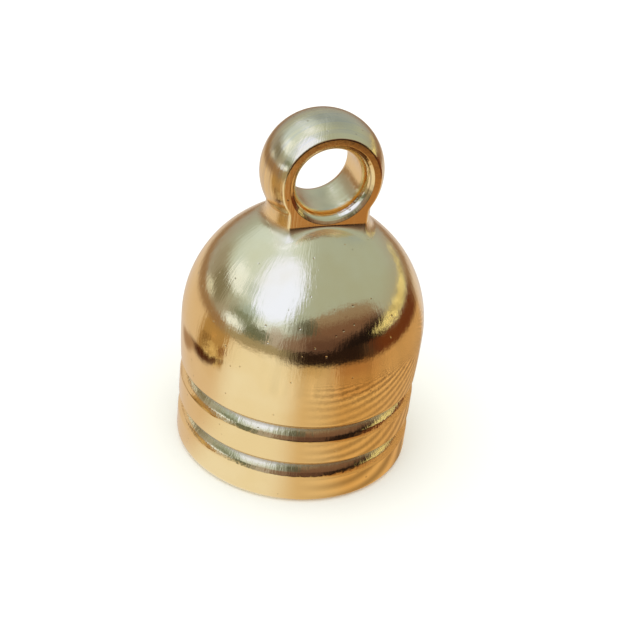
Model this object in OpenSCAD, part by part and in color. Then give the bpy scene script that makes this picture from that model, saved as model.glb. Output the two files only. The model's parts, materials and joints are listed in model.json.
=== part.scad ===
// Tassel cap: a domed, open-bottomed bell of cast and gold-plated metal with an eye on top.
// Units are millimetres. The origin is the centre of the bottom rim, and the cap stands on it.

/* [Body] */
// outer diameter of the dome
dome_d = 11; // [10:0.5:13]
// height of the dome's centre above the bottom rim
dome_z = 6.4; // [6:0.2:9]
// how far the wall draws in below the dome, on the radius
draw_in = 0.08; // [0.04:0.02:0.2]
// diameter of the socket inside
socket_d = 8.4; // [6:0.2:8.4]

/* [Bands] */
// height of the lower band's straight wall
lower_band_h = 1.4; // [0.8:0.1:1.5]
// height of the upper band's straight wall
upper_band_h = 1.2; // [0.5:0.1:1.4]
// depth of both grooves
groove_depth = 0.36; // [0.2:0.02:0.5]
// rise of each groove's upper side, from its root to the edge above it
groove_rise = 0.26; // [0.1:0.02:0.3]
// radius of the rounded shoulder on each band
shoulder_r = 0.62; // [0.6:0.02:1]
// radius of the softened edges of the bottom rim
rim_soft = 0.3; // [0.1:0.05:0.3]

/* [Eye] */
// height of the eye's centre above the top of the dome
eye_rise = 2; // [2:0.05:2.2]
// largest diameter of the eye, across its bulged outside
eye_d = 5.4; // [5.2:0.1:5.8]
// diameter of the eye's two flat sides
eye_flat_d = 4.5; // [4.3:0.1:5]
// width of the eye between its two flat sides
eye_w = 3; // [2.4:0.1:3.2]
// diameter of the hole
eye_hole_d = 3.2; // [2.6:0.1:3.3]
// radius of the softened mouths of the hole
eye_soft = 0.27; // [0.1:0.01:0.3]
// width of the foot under the eye, at the flat sides
foot_w = 3.4; // [2.4:0.1:3.6]

/* [Hidden] */
$fn = 128;
// how far a cutting shape runs past the surface that it opens
over = 1;
dome_r = dome_d / 2;
socket_r = socket_d / 2;
wall_r = dome_r - draw_in;
root_r = wall_r - groove_depth;
shoulder_h = sqrt(pow(shoulder_r, 2) - pow(shoulder_r - groove_depth, 2));
lower_root_z = lower_band_h + shoulder_h;
upper_band_z = lower_root_z + groove_rise;
upper_shoulder_z = upper_band_z + upper_band_h;
upper_root_z = upper_shoulder_z + shoulder_h;
wall_z = upper_root_z + groove_rise;
eye_z = dome_z + dome_r + eye_rise;
eye_r = eye_d / 2;
eye_flat_r = eye_flat_d / 2;
eye_hole_r = eye_hole_d / 2;
// radius of the arc that bulges from one flat side to the other
eye_bulge = eye_r - eye_flat_r;
eye_bulge_r = (pow(eye_w / 2, 2) + pow(eye_bulge, 2)) / (2 * eye_bulge);
// half of the foot's width at the top of its bulge
foot_side_r = foot_w / 2 + eye_bulge;
// the foot is cut back to this radius around the hole, inside the metal of the ring
foot_cut_r = (eye_hole_r + eye_soft + eye_flat_r) / 2;
// height over the dome's centre at which the foot's lowest corner meets the dome
foot_corner = sqrt(pow(dome_r, 2) - pow(foot_w / 2, 2) - pow(eye_w / 2, 2));
// the foot starts halfway between the hollow's top and that corner
foot_z = dome_z + (socket_r + foot_corner) / 2;
gold = [0.85, 0.66, 0.36];

cap();

module cap() {
    color(gold) {
        shell();
        translate([0, 0, eye_z]) rotate([90, 0, 0]) eye();
        foot();
    }
}

// the turned body: dome, wall, two grooves and two bands, hollow inside
module shell() {
    rotate_extrude() difference() {
        union() {
            dome_outline();
            wall_outline();
            band(upper_band_z, upper_shoulder_z);
            lower_band();
        }
        hollow();
    }
}

module dome_outline() {
    difference() {
        translate([0, dome_z]) circle(dome_r);
        translate([-dome_d, dome_z - dome_d]) square([3 * dome_d, dome_d]);
        translate([-2 * dome_d, 0]) square([2 * dome_d, 3 * dome_d]);
    }
}

module wall_outline() {
    polygon([
        [0, lower_root_z], [root_r, lower_root_z], [root_r, upper_root_z],
        [wall_r, wall_z], [dome_r, dome_z], [0, dome_z]
    ]);
}

// one band: a straight wall from z0 to z1, a rounded shoulder above it and a sloping side below it
module band(z0, z1) {
    polygon([[0, z0 - groove_rise], [root_r, z0 - groove_rise], [wall_r, z0], [wall_r, z1], [0, z1]]);
    shoulder(z1);
}

module shoulder(z) {
    difference() {
        translate([wall_r - shoulder_r, z]) circle(shoulder_r);
        translate([0, z - 2 * shoulder_r]) square([2 * wall_r, 2 * shoulder_r]);
        translate([0, z + shoulder_h]) square([2 * wall_r, shoulder_r]);
    }
}

module lower_band() {
    difference() {
        square([wall_r, lower_band_h]);
        translate([wall_r - rim_soft, 0]) edge_waste();
    }
    shoulder(lower_band_h);
}

// what a softened outer edge leaves off a square corner: a small square less a circle
module edge_waste() {
    difference() {
        translate([0, -over]) square([rim_soft + over, rim_soft + over]);
        translate([0, rim_soft]) circle(rim_soft);
    }
}

// the socket: straight from the rim to the dome's centre, then a domed end
module hollow() {
    translate([-over, -over]) square([socket_r + over, dome_z + over]);
    difference() {
        translate([0, dome_z]) circle(socket_r);
        translate([-2 * socket_d, 0]) square([2 * socket_d, 2 * dome_d]);
    }
    difference() {
        translate([0, -over]) square([socket_r + rim_soft, over + rim_soft]);
        translate([socket_r + rim_soft, rim_soft]) circle(rim_soft);
    }
}

// the ring, turned about the hole: bulged outside, flat sides, softened mouths
module eye() {
    rotate_extrude() difference() {
        translate([eye_r - eye_bulge_r, 0]) circle(eye_bulge_r);
        translate([-2 * eye_bulge_r, -2 * eye_bulge_r])
            square([2 * eye_bulge_r + eye_hole_r, 4 * eye_bulge_r]);
        for (side = [-1, 1]) mirror([0, side < 0 ? 1 : 0]) {
            translate([0, eye_w / 2]) square([2 * eye_r, 2 * eye_bulge_r]);
            translate([0, eye_w / 2]) mouth_waste();
        }
    }
}

// what the softened mouth leaves off the corner between the hole and a flat side
module mouth_waste() {
    difference() {
        translate([0, -eye_soft]) square([eye_hole_r + eye_soft, eye_soft + over]);
        translate([eye_hole_r + eye_soft, -eye_soft]) circle(eye_soft);
    }
}

// the foot stands straight under the ring, and its two outer sides bulge as the ring does
module foot() {
    difference() {
        translate([0, 0, foot_z]) linear_extrude(eye_z - foot_z) intersection() {
            square([2 * eye_r, eye_w], center = true);
            translate([foot_side_r - eye_bulge_r, 0]) circle(eye_bulge_r);
            translate([eye_bulge_r - foot_side_r, 0]) circle(eye_bulge_r);
        }
        translate([0, 0, eye_z]) rotate([90, 0, 0]) cylinder(r = foot_cut_r, h = 2 * eye_w, center = true);
    }
}
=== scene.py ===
"""The looks of a small cast and gold-plated tassel cap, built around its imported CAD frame."""

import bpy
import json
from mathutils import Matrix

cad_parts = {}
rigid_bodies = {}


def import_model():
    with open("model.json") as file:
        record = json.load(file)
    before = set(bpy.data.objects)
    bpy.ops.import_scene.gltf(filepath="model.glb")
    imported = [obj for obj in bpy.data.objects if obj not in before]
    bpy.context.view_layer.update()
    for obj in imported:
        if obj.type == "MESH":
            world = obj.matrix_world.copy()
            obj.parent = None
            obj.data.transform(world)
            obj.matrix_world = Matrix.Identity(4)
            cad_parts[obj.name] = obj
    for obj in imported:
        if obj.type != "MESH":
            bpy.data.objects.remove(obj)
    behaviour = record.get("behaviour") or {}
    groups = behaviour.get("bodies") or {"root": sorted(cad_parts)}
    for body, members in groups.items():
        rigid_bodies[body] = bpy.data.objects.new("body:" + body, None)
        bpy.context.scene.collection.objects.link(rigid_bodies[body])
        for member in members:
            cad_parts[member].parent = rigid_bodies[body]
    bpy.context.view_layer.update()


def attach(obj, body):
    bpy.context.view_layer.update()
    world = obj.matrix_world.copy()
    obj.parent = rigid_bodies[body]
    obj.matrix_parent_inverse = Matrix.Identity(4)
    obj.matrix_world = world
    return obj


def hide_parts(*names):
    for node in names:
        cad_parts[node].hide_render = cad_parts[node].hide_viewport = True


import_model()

import json
import logging
import math
from collections.abc import Callable, Sequence
from dataclasses import dataclass, field
from enum import Enum
from functools import reduce

import bmesh
import bpy
from mathutils import Matrix, Vector

log = logging.getLogger("tassel_cap")

MM = 0.001
TURN = 2 * math.pi

# how near points are merged, or found on a level, on a flat side or on the hole's mouth, in millimetres
TOUCH = 0.001
FLAT_TOUCH = 0.0005
MOUTH_TOUCH = 0.002
MOUTH_CLEAR = 0.005

NUMBER = "NodeSocketFloat"
Socket = bpy.types.NodeSocket
# a colour with its alpha
Colour = tuple[float, float, float, float]
# what feeds a node's input: a number, a colour or vector, or another node's output
Feed = float | tuple[float, ...] | Socket


class Flat(Enum):
    """The two flat sides of the eye, by the direction that each faces along Y."""

    FRONT = -1
    BACK = 1


# Outlines, in millimetres


def arc(
    centre: Sequence[float], radius: float, start: float, stop: float, steps: int
) -> list[tuple[float, float]]:
    """Gives the points of an arc, both ends included.

    Args:
        centre: The arc's centre, as two coordinates.
        radius: The arc's radius.
        start: The angle of its first point, in radians.
        stop: The angle of its last point, in radians.
        steps: How many straight steps the arc is divided into.

    Returns:
        The points from start to stop.
    """
    angles = [start + (stop - start) * i / steps for i in range(steps + 1)]
    return [
        (centre[0] + radius * math.cos(a), centre[1] + radius * math.sin(a))
        for a in angles
    ]


def eased_corner(
    before: Sequence[float],
    corner: Sequence[float],
    after: Sequence[float],
    radius: float,
    steps: int,
) -> list[tuple[float, float]]:
    """Rounds the corner between two straight lines.

    Args:
        before: A point on the line that comes into the corner.
        corner: The corner.
        after: A point on the line that leaves it.
        radius: The rounding's radius.
        steps: How many straight steps the rounding is divided into.

    Returns:
        The rounding's points, in the direction of travel.
    """
    c = Vector(corner)
    to_before = (Vector(before) - c).normalized()
    to_after = (Vector(after) - c).normalized()
    half = to_before.angle(to_after) / 2
    middle = c + (to_before + to_after).normalized() * radius / math.sin(half)
    first = c + to_before * radius / math.tan(half) - middle
    last = c + to_after * radius / math.tan(half) - middle
    sweep = math.atan2(
        first.x * last.y - first.y * last.x, first.x * last.x + first.y * last.y
    )
    start = math.atan2(first.y, first.x)
    return arc(middle, radius, start, start + sweep, steps)


@dataclass(frozen=True)
class BodyOutline:
    """The half section of the turned body, from the top of the socket round the rim to the dome."""

    dome_r: float = 5.5
    dome_z: float = 6.4
    wall_r: float = 5.42
    socket_r: float = 4.2
    lower_band_h: float = 1.26
    upper_band_h: float = 1.02
    # each span of a shoulder: the lean that it ends with in degrees, its height and its steps
    shoulder_spans: tuple[tuple[float, float, int], ...] = (
        (20.0, 0.17, 8),
        (22.0, 0.15, 4),
        (27.0, 0.04, 3),
        (31.0, 0.12, 3),
        (35.0, 0.2113, 5),
    )
    groove_rise: float = 0.27
    rim_soft: float = 0.3
    root_soft: float = 0.05
    edge_soft: float = 0.05
    crown_polar: float = math.radians(46)
    crown_r: float = 7.3
    dome_steps: int = 24
    wall_steps: int = 16
    rim_steps: int = 6
    root_steps: int = 5
    edge_steps: int = 6
    # the socket's straight wall has an edge loop at these shares of its height
    socket_loops: tuple[float, ...] = (0.66, 0.33)

    @property
    def crown_centre(self) -> tuple[float, float]:
        """The centre of the flatter arc that the crown is turned from, past the cap's axis."""
        over = self.crown_r - self.dome_r
        return (-over * math.sin(self.crown_polar), self.dome_z - over * math.cos(self.crown_polar))

    @property
    def shoulder_h(self) -> float:
        """The height of a whole shoulder."""
        return sum(height for _, height, _ in self.shoulder_spans)

    def shoulder(self, band_top: float) -> list[tuple[float, float]]:
        """Gives a shoulder's points, from the top of the band's wall in to the groove's root.

        Args:
            band_top: The height at which the band's straight wall ends.

        Returns:
            The shoulder's points.
        """
        points, lean = [(self.wall_r, band_top)], 0.0
        for goal, height, steps in self.shoulder_spans:
            rise = height / steps
            for step in range(steps):
                tilt = lean + (goal - lean) * (step + 0.5) / steps
                r, z = points[-1]
                points.append((r - rise * math.tan(math.radians(tilt)), z + rise))
            lean = goal
        return points

    def socket(self) -> list[tuple[float, float]]:
        """Gives the hollow's points.

        Returns:
            The points from its domed end down to the eased mouth.
        """
        r, z, soft = self.socket_r, self.dome_z, self.rim_soft
        points = arc((0, z), r, math.pi / 2, 0, self.dome_steps)
        points += [(r, z * share) for share in self.socket_loops]
        points += arc((r + soft, soft), soft, math.pi, 1.5 * math.pi, self.rim_steps)
        return points

    def groove(self, band_top: float, above: Sequence[float]) -> list[tuple[float, float]]:
        """Gives a band's rounded shoulder, the groove's root and the edge over it.

        Args:
            band_top: The height at which the band's straight wall ends.
            above: The next point of the wall over the groove.

        Returns:
            The points from the top of the band's wall to the wall above.
        """
        *points, root = self.shoulder(band_top)
        edge = (self.wall_r, root[1] + self.groove_rise)
        points += eased_corner(points[-1], root, edge, self.root_soft, self.root_steps)
        points += eased_corner(root, edge, above, self.edge_soft, self.edge_steps)
        return points

    def outside(self) -> list[tuple[float, float]]:
        """Gives the outside's points.

        Returns:
            The points from the rim's outer edge up to the crown.
        """
        soft = self.rim_soft
        points = arc((self.wall_r - soft, soft), soft, -math.pi / 2, 0, self.rim_steps)
        points += [(self.wall_r, self.lower_band_h / 2)]
        step = self.shoulder_h + self.groove_rise
        lower_top = self.lower_band_h
        upper_top = lower_top + step + self.upper_band_h
        points += self.groove(lower_top, (self.wall_r, upper_top))
        points += [(self.wall_r, upper_top - self.upper_band_h / 2)]
        wall_foot = upper_top + step
        rise = self.dome_z - wall_foot
        inset = self.dome_r - self.wall_r
        sweep_r = (rise**2 + inset**2) / (2 * inset)
        lean = math.asin(rise / sweep_r)
        wall = arc((self.dome_r - sweep_r, self.dome_z), sweep_r, -lean, 0, self.wall_steps)
        points += self.groove(upper_top, wall[1])
        points += wall[1:]
        dome_end = math.pi / 2 - self.crown_polar
        points += arc((0, self.dome_z), self.dome_r, 0, dome_end, self.dome_steps)[1:]
        return points

    def points(self) -> list[tuple[float, float]]:
        """Gives the whole half section, as radius and height."""
        return self.socket() + self.outside()


@dataclass(frozen=True)
class EyeSection:
    """The section across the eye's outside: two eased edges and a crowned arc between them.

    A point is given by how far it lies outside the flat side's own outline, and by its place along the hole.
    """

    width: float = 3.0
    bulge: float = 0.53
    edge_soft: float = 0.12
    edge_steps: int = 8
    crown_steps: int = 28

    @property
    def crown_r(self) -> float:
        """The radius of the crowned arc."""
        return ((self.width / 2) ** 2 + self.bulge**2) / (2 * self.bulge)

    def points(self) -> list[tuple[float, float, float, float]]:
        """Gives the section's points from the front flat side to the back one.

        Returns:
            Each point's two coordinates, and those of its outward normal.
        """
        half, soft = self.width / 2, self.edge_soft
        crown_x = self.bulge - self.crown_r
        edge_y = half - soft
        edge_x = crown_x + math.sqrt((self.crown_r - soft) ** 2 - edge_y**2)
        lean = math.atan2(edge_y, edge_x - crown_x)
        front = arc((edge_x, -edge_y), soft, -math.pi / 2, -lean, self.edge_steps)
        crown = arc((crown_x, 0), self.crown_r, -lean, lean, self.crown_steps)
        back = arc((edge_x, edge_y), soft, lean, math.pi / 2, self.edge_steps)
        places = front + crown[1:] + back[1:]
        return [(x, y, math.cos(a), math.sin(a)) for (x, y), a in zip(places, self.angles(lean))]

    def angles(self, lean: float) -> list[float]:
        """Gives the angle of each point's normal.

        Args:
            lean: The normal's angle where the crowned arc meets an eased edge.

        Returns:
            The angles in order.
        """
        angles = [-math.pi / 2]
        for start, stop, steps in (
            (-math.pi / 2, -lean, self.edge_steps),
            (-lean, lean, self.crown_steps),
            (lean, math.pi / 2, self.edge_steps),
        ):
            angles += [start + (stop - start) * i / steps for i in range(1, steps + 1)]
        return angles


@dataclass(frozen=True)
class HoleSection:
    """The section of the hole's wall: a countersunk lip and a flare at each face, and straight between."""

    radius: float = 1.47
    lip_r: float = 1.87
    lip_in: float = 0.15
    lip_turn: float = math.radians(58)
    lip_soft: float = 0.04
    flare_turn: float = math.radians(46)
    lip_steps: int = 4
    flare_steps: int = 10
    # shares of the way at which the lip and the straight wall have an edge loop
    lip_loop: float = 0.7
    wall_loops: tuple[float, ...] = (-0.6, -0.2, 0.2, 0.6)

    def mouth(self) -> list[tuple[float, float]]:
        """Gives one mouth's points.

        Returns:
            The radius and the depth under the face of each point.
        """
        lip_end = (self.lip_r - self.lip_in, self.lip_in / math.tan(self.lip_turn))
        on_face = (2 * self.lip_r, 0)
        points = eased_corner(on_face, (self.lip_r, 0), lip_end, self.lip_soft, self.lip_steps)
        middle = Vector(points[-1]).lerp(Vector(lip_end), self.lip_loop)
        points += [tuple(middle), lip_end]
        flare_r = (lip_end[0] - self.radius) / (1 - math.cos(self.flare_turn))
        foot = lip_end[1] + flare_r * math.sin(self.flare_turn)
        centre = (self.radius + flare_r, foot)
        return points + arc(centre, flare_r, self.flare_turn - math.pi, -math.pi, self.flare_steps)[1:]

    def points(self, half: float) -> list[tuple[float, float]]:
        """Gives the whole section from the front face to the back one, as radius and place along the hole.

        Args:
            half: Half of the eye's width.

        Returns:
            The section's points.
        """
        mouth = self.mouth()
        straight = half - mouth[-1][1]
        front = [(r, depth - half) for r, depth in mouth]
        back = [(r, half - depth) for r, depth in reversed(mouth)]
        return front + [(self.radius, share * straight) for share in self.wall_loops] + back


# Modelling by hand


@dataclass
class Blank:
    """One mesh on the bench, modelled in millimetres in edit mode and set down in metres."""

    name: str
    body: bpy.types.Object = field(init=False)

    def begin(self) -> None:
        """Adds a plane, and draws it together into the single point that the first profile starts from."""
        bpy.ops.object.select_all(action="DESELECT")
        bpy.ops.mesh.primitive_plane_add(size=1, location=(0, 0, 0))
        self.body = bpy.context.object
        self.body.name = self.name
        self.body.data.name = self.name
        bpy.ops.object.mode_set(mode="EDIT")
        bpy.ops.mesh.select_mode(type="VERT")
        bpy.ops.mesh.merge(type="CENTER")

    def new_point(self) -> None:
        """Adds a further starting point to the mesh that is being edited."""
        bpy.ops.mesh.select_all(action="DESELECT")
        bpy.ops.mesh.primitive_plane_add(size=1, location=(0, 0, 0))
        bpy.ops.mesh.merge(type="CENTER")

    def mesh(self) -> bmesh.types.BMesh:
        """Gives the mesh that is being edited."""
        return bmesh.from_edit_mesh(self.body.data)

    def draw(self, places: Sequence[Sequence[float]]) -> None:
        """Moves the selected point to the first place, and extrudes it through the others.

        Args:
            places: The places that the profile runs through.
        """
        here = Vector((0, 0, 0))
        for number, place in enumerate(places):
            step = tuple(Vector(place) - here)
            if number:
                bpy.ops.mesh.extrude_vertices_move(TRANSFORM_OT_translate={"value": step})
            else:
                bpy.ops.transform.translate(value=step)
            here = Vector(place)
        bpy.ops.mesh.select_linked()

    def sweep(self, angle: float, steps: int, centre: Sequence[float], axis: Sequence[float]) -> None:
        """Spins what is selected about an axis. The operator turns the other way than a right-hand screw.

        Args:
            angle: How far it turns, in radians, as a right-hand screw does.
            steps: How many steps it takes.
            centre: A point on the axis.
            axis: The axis's direction.
        """
        bpy.ops.mesh.spin(steps=steps, angle=-angle, center=tuple(centre), axis=tuple(axis))

    def pick(self, wanted: Callable[[bmesh.types.BMVert], bool]) -> int:
        """Selects only the points that pass a test.

        Args:
            wanted: Says whether a point is wanted.

        Returns:
            How many points are selected.
        """
        bpy.ops.mesh.select_all(action="DESELECT")
        mesh = self.mesh()
        count = 0
        for point in mesh.verts:
            if wanted(point):
                point.select_set(True)
                count += 1
        mesh.select_flush(True)
        bmesh.update_edit_mesh(self.body.data, loop_triangles=False, destructive=False)
        return count

    def number(self, number_of: Callable[[Vector], int]) -> None:
        """Numbers the selected points, so that every loop extruded from them keeps the numbers.

        Args:
            number_of: Gives a point's number from its place.
        """
        mesh = self.mesh()
        numbers = mesh.verts.layers.int.get("column") or mesh.verts.layers.int.new("column")
        for point in mesh.verts:
            if point.select:
                point[numbers] = number_of(point.co)
        bmesh.update_edit_mesh(self.body.data)

    def extrude_to(self, places: dict[int, Vector]) -> None:
        """Extrudes the selected edges, and moves each new point to the place for its number.

        Args:
            places: The place for each number.
        """
        bpy.ops.mesh.extrude_edges_move(TRANSFORM_OT_translate={"value": (0, 0, 0)})
        mesh = self.mesh()
        numbers = mesh.verts.layers.int.get("column")
        for point in mesh.verts:
            if point.select:
                point.co = places[point[numbers]]
        bmesh.update_edit_mesh(self.body.data, loop_triangles=False, destructive=False)

    def sew(self) -> None:
        """Merges all points that lie together."""
        bpy.ops.mesh.select_all(action="SELECT")
        bpy.ops.mesh.remove_doubles(threshold=TOUCH)
        bpy.ops.mesh.select_all(action="DESELECT")

    def set_down(self) -> bpy.types.Object:
        """Closes the modelling: normals outward, real size, smooth shading.

        Returns:
            The finished object, in metres, at the origin.
        """
        self.sew()
        mesh = self.mesh()
        loose = sum(1 for edge in mesh.edges if len(edge.link_faces) != 2)
        if loose:
            log.warning("%s has %d open edges", self.name, loose)
        bpy.ops.mesh.select_all(action="SELECT")
        bpy.ops.mesh.normals_make_consistent(inside=False)
        bpy.ops.transform.resize(value=(MM, MM, MM), center_override=(0, 0, 0))
        bpy.ops.object.mode_set(mode="OBJECT")
        bpy.ops.object.shade_smooth()
        weigh = self.body.modifiers.new("even normals", "WEIGHTED_NORMAL")
        weigh.mode = "FACE_AREA"
        weigh.weight = 50
        bpy.ops.object.modifier_apply(modifier=weigh.name)
        log.info("%s: %d faces", self.name, len(self.body.data.polygons))
        return self.body


# The cap


@dataclass
class TurnedBody:
    """The dome, the wall and the two grooved bands, hollow inside, turned from one section."""

    outline: BodyOutline = field(default_factory=BodyOutline)
    columns: int = 192

    def model(self, blank: Blank) -> None:
        """Draws the half section and spins it about the cap's axis.

        Args:
            blank: The mesh that the body is made in.
        """
        blank.draw([(r, 0, z) for r, z in self.outline.points()])
        blank.sweep(TURN, self.columns, (0, 0, 0), (0, 0, 1))
        blank.sew()

    def crown_place(self, lean: float, turn: float) -> Vector:
        """Gives a place on the crown.

        Args:
            lean: The angle from the cap's axis at the centre of the crown's arc.
            turn: The angle about the axis.

        Returns:
            The place.
        """
        x, z = self.outline.crown_centre
        r = x + self.outline.crown_r * math.sin(lean)
        return Vector((r * math.cos(turn), r * math.sin(turn), z + self.outline.crown_r * math.cos(lean)))


@dataclass
class Foot:
    """The short neck under the eye, and the casting's fillet where it runs into the dome."""

    body: TurnedBody
    section: EyeSection
    half_width: float = 1.74
    aside: float = 0.12
    fillet_top: float = 12.0
    fillet_steps: int = 16
    crown_loops: int = 20
    largest_ball: float = 3.0
    halvings: int = 40

    def plan(self) -> list[tuple[Vector, Vector]]:
        """Gives the foot's outline seen from above, one point and outward normal for each column of the body.

        Returns:
            The points in order about the axis, from the middle of the right side.
        """
        side = self.section.points()
        half = len(side) // 2
        line_steps = self.body.columns // 2 - (len(side) - 1)
        right = [(Vector((self.half_width + x, y)), Vector((nx, ny))) for x, y, nx, ny in side]
        left = [(Vector((-p.x, p.y)), Vector((-n.x, n.y))) for p, n in reversed(right)]
        end = right[-1][0]
        back = [
            (Vector((end.x * (1 - 2 * i / line_steps), end.y)), Vector((0, 1)))
            for i in range(1, line_steps)
        ]
        front = [(Vector((-p.x, -p.y)), Vector((0, -1))) for p, _ in back]
        outline = right[half:] + back + left + front + right[:half]
        return [(p + Vector((self.aside, 0)), n) for p, n in outline]

    def ball(self, point: Vector, normal: Vector) -> tuple[Vector, float]:
        """Fits the ball in the corner between foot and dome that touches the foot at the fillet's level top.

        Args:
            point: A point of the foot's outline.
            normal: Its outward normal.

        Returns:
            The ball's centre and its radius.
        """
        outline = self.body.outline
        x, z = outline.crown_centre
        low, high = 0.0, self.largest_ball
        for _ in range(self.halvings):
            radius = (low + high) / 2
            reach = math.hypot((point + normal * radius).length - x, self.fillet_top - z)
            low, high = (radius, high) if reach > outline.crown_r + radius else (low, radius)
        flat = point + normal * radius
        return Vector((flat.x, flat.y, self.fillet_top)), radius

    def model(self, blank: Blank) -> None:
        """Runs the dome in to the foot, then up through the fillet to the foot's walls.

        Args:
            blank: The mesh that holds the turned body.
        """
        outline, columns = self.body.outline, self.body.columns
        start_z = outline.dome_z + outline.dome_r * math.cos(outline.crown_polar)
        # at this height the socket's end lies well inside half the dome's radius
        blank.pick(lambda v: abs(v.co.z - start_z) < TOUCH and v.co.xy.length > outline.dome_r / 2)
        blank.number(lambda co: round(math.atan2(co.y, co.x) / TURN * columns) % columns)
        plan = self.plan()
        balls = [self.ball(p, n) for p, n in plan]
        x, z = outline.crown_centre
        centres, ends = [], []
        for number, (ball, _) in enumerate(balls):
            turn = math.atan2(ball.y, ball.x) % TURN
            even = number * TURN / columns
            turn += TURN * round((even - turn) / TURN)
            centres.append(Vector((x * math.cos(turn), x * math.sin(turn), z)))
            ends.append((math.acos((ball - centres[-1]).normalized().z), turn, even))
        for loop in range(1, self.crown_loops + 1):
            t = loop / self.crown_loops
            ease = t * t * (3 - 2 * t)
            blank.extrude_to(
                {
                    i: self.body.crown_place(
                        outline.crown_polar + (polar - outline.crown_polar) * t,
                        even + (turn - even) * ease,
                    )
                    for i, (polar, turn, even) in enumerate(ends)
                }
            )
        for loop in range(1, self.fillet_steps + 1):
            t = loop / self.fillet_steps
            places = {}
            for i, ((ball, radius), (_, normal)) in enumerate(zip(balls, plan)):
                down = (centres[i] - ball).normalized()
                inward = Vector((-normal.x, -normal.y, 0))
                places[i] = ball + down.slerp(inward, t) * radius
            blank.extrude_to(places)


@dataclass
class Eye:
    """The short thick ring on top: crowned outside, flat at its two sides, with a softened hole."""

    foot: Foot
    hole: HoleSection = field(default_factory=HoleSection)
    height: float = 13.9
    flat_r: float = 2.17
    waist_r: float = 0.65
    ring_steps: int = 108
    waist_steps: int = 14
    straight_steps: int = 2
    # shares of the way from the hole's mouth to the outline at which a flat side has an edge loop
    flat_loops: tuple[float, ...] = (0.08, 0.5, 0.92, 1.0)

    @property
    def waist(self) -> Vector:
        """The centre of the hollow curve between the foot's right side and the ring.

        Returns:
            The centre, without the eye's shift to one side.
        """
        x = self.foot.half_width + self.waist_r
        drop = math.sqrt((self.flat_r + self.waist_r) ** 2 - x**2)
        return Vector((x, 0, self.height - drop))

    def carry(self, blank: Blank, starts: dict[int, Vector], goals: dict[int, Vector]) -> None:
        """Extrudes the open edge straight from one row of places to another.

        Args:
            blank: The mesh that holds the edge.
            starts: The place that each numbered point leaves.
            goals: The place that it comes to.
        """
        for step in range(1, self.straight_steps + 1):
            share = step / self.straight_steps
            blank.extrude_to({number: starts[number].lerp(goal, share) for number, goal in goals.items()})

    def model_outside(self, blank: Blank) -> None:
        """Carries the foot's right side up, round the hole and down into its left side.

        Args:
            blank: The mesh that holds the foot.
        """
        section = self.foot.section.points()
        half, columns = len(section) // 2, self.foot.body.columns
        mesh = blank.mesh()
        numbers = mesh.verts.layers.int.get("column")
        top = {v[numbers]: v.co.copy() for v in mesh.verts if v.select}
        waist = self.waist
        foot_w, aside = self.foot.half_width, self.foot.aside
        right, left, last = {}, {}, {}
        for i, (x, y, _, _) in enumerate(section):
            column = (i - half) % columns
            right[column] = Vector((foot_w + x + aside, y, waist.z))
            left[column] = Vector((aside - foot_w - x, y, waist.z))
            last[column] = top[columns // 2 + half - i]
        edge = {tuple(v.co) for v in mesh.verts if v.select and v[numbers] in right}
        blank.pick(lambda v: tuple(v.co) in edge)
        self.carry(blank, top, right)
        lean = math.atan2(self.height - waist.z, waist.x)
        blank.sweep(lean, self.waist_steps, (aside + waist.x, 0, waist.z), (0, 1, 0))
        blank.sweep(-(math.pi + 2 * lean), self.ring_steps, (aside, 0, self.height), (0, 1, 0))
        blank.sweep(lean, self.waist_steps, (aside - waist.x, 0, waist.z), (0, 1, 0))
        self.carry(blank, left, last)
        blank.sew()

    def model_hole(self, blank: Blank) -> None:
        """Spins the hole's wall with its two softened mouths about the hole's axis.

        Args:
            blank: The mesh that holds the eye's outside.
        """
        profile = self.hole.points(self.foot.section.width / 2)
        blank.new_point()
        aside = self.foot.aside
        blank.draw([(aside + x, y, self.height) for x, y in profile])
        blank.sweep(TURN, self.foot.body.columns, (aside, 0, self.height), (0, 1, 0))

    def model_flat(self, blank: Blank, side: Flat) -> None:
        """Fills a flat side between the hole's mouth and the outline of ring and foot.

        Args:
            blank: The mesh that holds the eye.
            side: Which flat side is filled.
        """
        plane = side.value * self.foot.section.width / 2
        mouth_r, aside = self.hole.mouth()[0][0], self.foot.aside

        def turn(place: Vector) -> float:
            """Gives a place's angle about the hole."""
            return math.atan2(place.z - self.height, place.x - aside) % TURN

        def reach(place: Vector) -> float:
            """Gives a place's distance from the hole's axis."""
            return math.hypot(place.x - aside, place.z - self.height)

        def key(place: Vector) -> tuple[float, ...]:
            """Gives a place's rounded coordinates, by which it is found again."""
            return tuple(round(c, 5) for c in place)

        def on_plane(v: bmesh.types.BMVert) -> bool:
            """Says whether a point is on this flat side."""
            return abs(v.co.y - plane) <= FLAT_TOUCH

        def outer(v: bmesh.types.BMVert) -> bool:
            """Says whether a point is on the open outline of ring and foot."""
            return on_plane(v) and v.is_boundary and reach(v.co) > mouth_r + MOUTH_CLEAR

        def mouth(v: bmesh.types.BMVert) -> bool:
            """Says whether a point is on the mouth of the hole."""
            return on_plane(v) and abs(reach(v.co) - mouth_r) < MOUTH_TOUCH

        mesh = blank.mesh()
        outline = sorted((v.co.copy() for v in mesh.verts if outer(v)), key=turn)
        ring = sorted((v.co.copy() for v in mesh.verts if mouth(v)), key=turn)
        if len(outline) != len(ring):
            log.error("flat side: %d and %d points", len(outline), len(ring))
        blank.pick(mouth)
        order = {key(place): i for i, place in enumerate(ring)}
        blank.number(lambda co: order[key(co)])
        for share in self.flat_loops:
            blank.extrude_to({i: a.lerp(b, share) for i, (a, b) in enumerate(zip(ring, outline))})
        blank.sew()

    def model(self, blank: Blank) -> None:
        """Makes the whole eye on its foot.

        Args:
            blank: The mesh that holds the foot.
        """
        self.model_outside(blank)
        self.model_hole(blank)
        for side in Flat:
            self.model_flat(blank, side)


# Finishes


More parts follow.
